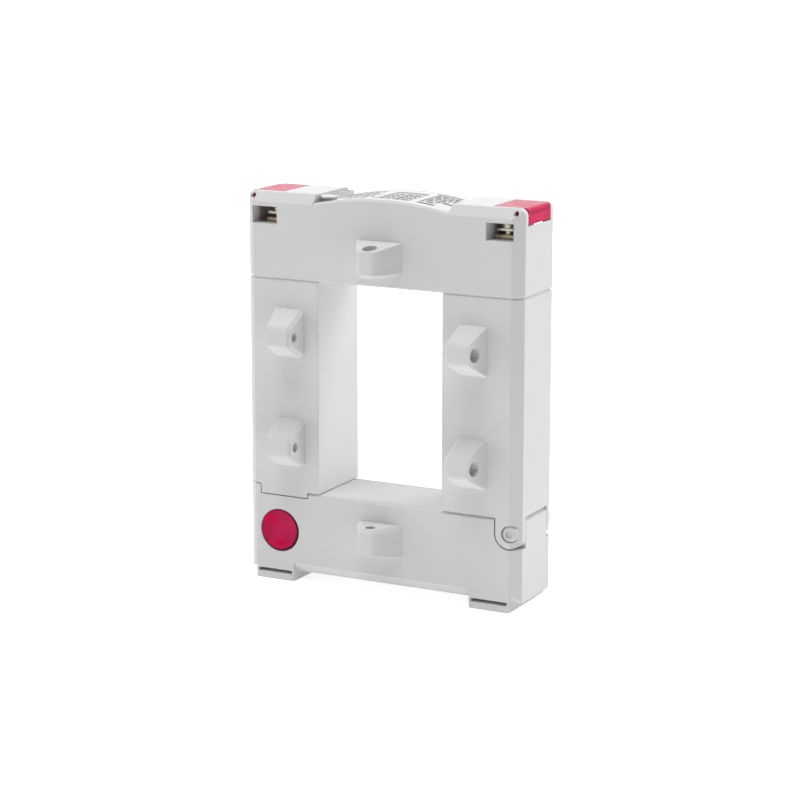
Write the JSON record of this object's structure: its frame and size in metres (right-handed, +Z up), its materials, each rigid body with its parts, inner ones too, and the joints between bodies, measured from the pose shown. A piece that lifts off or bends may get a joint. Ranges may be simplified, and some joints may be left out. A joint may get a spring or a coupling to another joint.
{
  "type": "split-core current transformer",
  "caption": "Free-standing split-core current transformer with a tall rectangular cable window, a yoke that unlocks and hinges open, fixing lugs and covered secondary terminals.",
  "frame": {"origin": "on the ground plane under the middle of the housing, between the soles of the two feet", "axes": "+X to the hinge side (right seen from the front), +Y through the window to the back, +Z up"},
  "size_m": [0.125, 0.058, 0.1635],
  "materials": {
    "housing": "fine matt, moulded polycarbonate",
    "cover": "tinted crimson polycarbonate, half gloss",
    "button": "crimson, moulded, glossy dish",
    "core": "wound silicon steel strip with ground pole faces",
    "cushion": "closed-cell foam",
    "bobbin": "glass-filled polyamide",
    "winding": "enamelled copper wire",
    "terminal": "nickel plated brass",
    "fixing": "nickel plated steel",
    "pin": "moulded acetal",
    "spring": "spring steel strip",
    "label": "printed polyester film"
  },
  "bodies": {
    "base": {"yoke_housing": "housing", "yoke_lid": "housing", "yoke_core": "core", "core_cushions": "cushion", "latch_leaf": "spring", "latch_screw": "fixing"},
    "frame": {"head_housing": "housing", "left_leg_housing": "housing", "right_leg_housing": "housing", "upper_core": "core", "left_bobbin": "bobbin", "right_bobbin": "bobbin", "left_winding": "winding", "right_winding": "winding", "start_lead": "winding", "link_lead": "winding", "finish_lead": "winding", "left_terminal_bar": "terminal", "right_terminal_bar": "terminal", "terminal_screws": "fixing", "pressure_plates": "fixing", "rating_label": "label", "hinge_pin": "pin"},
    "button": {"lock_button": "button"},
    "left_cover": {"left_terminal_cover": "cover"},
    "right_cover": {"right_terminal_cover": "cover"}
  },
  "joints": [
    {"name": "frame_hinge", "type": "hinge", "parent": "base", "child": "frame", "pos_m": [0.0583, 0, 0.0327], "axis": [0, 1, 0], "range_deg": [0, 100], "deforming": ["latch_leaf"]},
    {"name": "button_push", "type": "slide", "parent": "base", "child": "button", "axis": [0, 1, 0], "range_m": [0, 0.0022], "stiffness_N_per_m": 1500, "springref_m": -0.002, "deforming": ["latch_leaf"]},
    {"name": "left_cover_hinge", "type": "hinge", "parent": "frame", "child": "left_cover", "pos_m": [-0.0593, 0, 0.1613], "axis": [0, -1, 0], "range_deg": [0, 95]},
    {"name": "right_cover_hinge", "type": "hinge", "parent": "frame", "child": "right_cover", "pos_m": [0.0593, 0, 0.1613], "axis": [0, 1, 0], "range_deg": [0, 95]}
  ]
}
